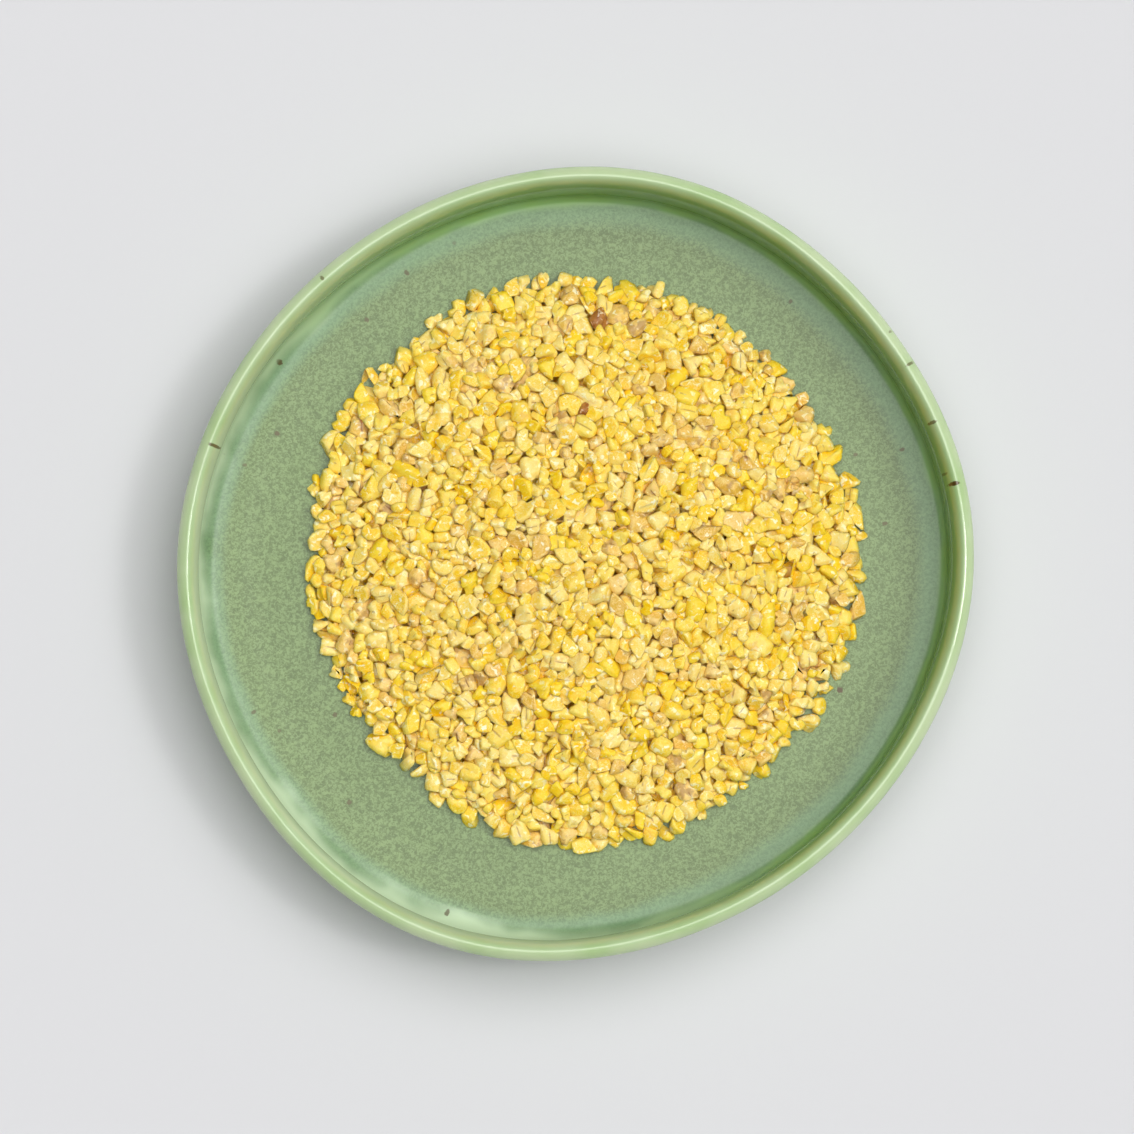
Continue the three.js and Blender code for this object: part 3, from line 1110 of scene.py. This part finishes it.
def places_mesh(grains):
    """Loose points, each with the turn, size and shape of the grain that lies there."""
    mesh = bpy.data.meshes.new("grain_places")
    mesh.from_pydata([g[0] for g in grains], [], [])
    turns = mesh.attributes.new("turn", "FLOAT_VECTOR", "POINT")
    turns.data.foreach_set("vector", [angle for g in grains for angle in g[1]])
    sizes = mesh.attributes.new("size", "FLOAT", "POINT")
    sizes.data.foreach_set("value", [g[2] for g in grains])
    shapes = mesh.attributes.new("shape", "INT", "POINT")
    shapes.data.foreach_set("value", [g[3] for g in grains])
    return mesh


# Each kind of grain: its share of the heap, how much bran is left on it, and its colours of
# kernel, vein, edge and bran.
grain_kinds = {
    "pale_grains": (
        0.4,
        0.25,
        [(0.9, 0.59, 0.025, 1), (0.93, 0.66, 0.09, 1), (0.98, 0.82, 0.36, 1), (0.66, 0.38, 0.12, 1)],
    ),
    "yellow_grains": (
        0.36,
        0.2,
        [(0.91, 0.58, 0.005, 1), (0.93, 0.63, 0.025, 1), (0.98, 0.8, 0.22, 1), (0.66, 0.36, 0.08, 1)],
    ),
    "golden_grains": (
        0.12,
        0.1,
        [(0.93, 0.575, 0.001, 1), (0.94, 0.61, 0.006, 1), (0.98, 0.76, 0.09, 1), (0.66, 0.36, 0.04, 1)],
    ),
    "bran_grains": (
        0.12,
        0.65,
        [(0.78, 0.48, 0.05, 1), (0.84, 0.56, 0.11, 1), (0.95, 0.73, 0.3, 1), (0.44, 0.24, 0.08, 1)],
    ),
    "caramel_grains": (
        0.0,
        0.8,
        [(0.36, 0.13, 0.02, 1), (0.44, 0.17, 0.03, 1), (0.52, 0.24, 0.06, 1), (0.26, 0.08, 0.02, 1)],
    ),
}

# The two toasted grains that stand out in the upper half of the heap: each is the topmost
# grain near its place.
caramel_places = [(5.0 * mm, 38.6 * mm), (0.6 * mm, 24 * mm)]
caramel_nearness = 1.5 * mm

grain_draw = np.random.default_rng(11)
cracked_shapes, shape_hulls = make_shapes(grain_draw)
all_grains = fill_heap(grain_draw, shape_hulls)
kind_names = list(grain_kinds)
kind_shares = np.array([grain_kinds[k][0] for k in kind_names])
kind_of_grain = grain_draw.choice(len(kind_names), len(all_grains), p=kind_shares / kind_shares.sum())
for x, y in caramel_places:
    distances = [math.hypot(g[0].x - x, g[0].y - y) for g in all_grains]
    near = [i for i, distance in enumerate(distances) if distance < caramel_nearness]
    topmost = max(near, key=lambda i: all_grains[i][0].z)
    kind_of_grain[topmost] = kind_names.index("caramel_grains")
strewing = strewing_tree()
for number, kind in enumerate(kind_names):
    bran_share, colours = grain_kinds[kind][1:]
    grains = [g for g, k in zip(all_grains, kind_of_grain) if k == number]
    piece = shaped_by(
        strewing,
        places_mesh(grains),
        kind,
        {
            "Shapes": cracked_shapes,
            "Grain size": grown,
            "Seed": number + 1,
            "Finish": wheat_finish(kind + "_wheat", colours, bran_share),
        },
    )
    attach(piece, "root")
    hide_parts("bulgur")
for shape in list(cracked_shapes.objects):
    bpy.data.objects.remove(shape)
bpy.data.collections.remove(cracked_shapes)


# ======== The floor, the light and the camera ========
# A pale matt table, lit by a wide soft window nearly overhead, a weaker glow from the right and
# a small lamp on the right that draws the thin bright lines along the lip.

half_table = 3.0
table_white = (0.678, 0.678, 0.692, 1)

window_lean = math.radians(10)
window_side = math.radians(30)
window_reach = math.radians(38)
window_strength = 5.55
glow_strength = 0.31
room_strength = 0.11


def table_finish():
    """Matt paint, without a shine of its own."""
    material, tree = new_finish("pale_table")
    shader = tree.node(
        "ShaderNodeBsdfPrincipled",
        None,
        {"Base Color": table_white, "Roughness": 0.9, "Specular IOR Level": 0.0},
    )
    tree.node("ShaderNodeOutputMaterial", None, {"Surface": shader})
    return material


def leaning(lean, side):
    """The upward direction, tipped by a lean towards a side."""
    level = Vector((math.cos(side), math.sin(side), 0))
    return level * math.sin(lean) + Vector((0, 0, math.cos(lean)))


def sun(name, side, lean, width, strength):
    """A far lamp: the side it stands on, how far it is from overhead, how wide it looks, all in
    degrees, and how much light it throws on the table."""
    lamp = bpy.data.lights.new(name, "SUN")
    lamp.angle = math.radians(width)
    lamp.energy = strength * math.pi / math.cos(math.radians(lean))
    piece = bpy.data.objects.new(name, lamp)
    piece.rotation_euler = (0, math.radians(lean), math.radians(side))
    bpy.context.scene.collection.objects.link(piece)


def room_light():
    """The window's soft light, the glow on its side of the room, and a little from all round."""
    world = bpy.data.worlds.new("room")
    world.use_nodes = True
    world.node_tree.nodes.clear()
    tree = Tree(world.node_tree)
    direction = tree.node("ShaderNodeTexCoord").other("Generated")
    window = tree.along(direction, leaning(window_lean, window_side)).rise(math.cos(window_reach), 1.0)
    level = (math.cos(window_side), math.sin(window_side), 0)
    glow = tree.along(direction, level).rise(0.2, 1.0)
    strength = room_strength + window_strength * window + glow_strength * glow
    sky = tree.node("ShaderNodeBackground", None, {"Strength": strength})
    tree.node("ShaderNodeOutputWorld", None, {"Surface": sky})
    return world


table_mesh = bpy.data.meshes.new("table")
table_corners = [(-half_table, -half_table, 0), (half_table, -half_table, 0)]
table_corners += [(half_table, half_table, 0), (-half_table, half_table, 0)]
table_mesh.from_pydata(table_corners, [], [(0, 1, 2, 3)])
table_mesh.materials.append(table_finish())
table = bpy.data.objects.new("table", table_mesh)
bpy.context.scene.collection.objects.link(table)

sun("lamp", side=3, lean=27, width=10, strength=0.123)
bpy.context.scene.world = room_light()
bpy.context.scene.view_settings.view_transform = "Standard"
bpy.context.scene.cycles.diffuse_bounces = 12

view_distance = 1000 * mm
view_width = 179.3 * mm
view_middle = Vector((-1.43 * mm, -0.8 * mm, rim_height))
view_lean = math.radians(3.2)
view_side = math.radians(255)
sensor = 36

camera_data = bpy.data.cameras.new("camera")
camera_data.sensor_width = sensor
camera_data.lens = sensor * view_distance / view_width
camera_data.clip_start = 0.05
camera_data.clip_end = 10
camera = bpy.data.objects.new("camera", camera_data)
upward = leaning(view_lean, view_side)
rightward = Vector((0, 1, 0)).cross(upward).normalized()
turned = Matrix((rightward, upward.cross(rightward), upward)).transposed()
camera.matrix_world = turned.to_4x4()
camera.location = view_middle + upward * view_distance
bpy.context.scene.collection.objects.link(camera)
bpy.context.scene.camera = camera
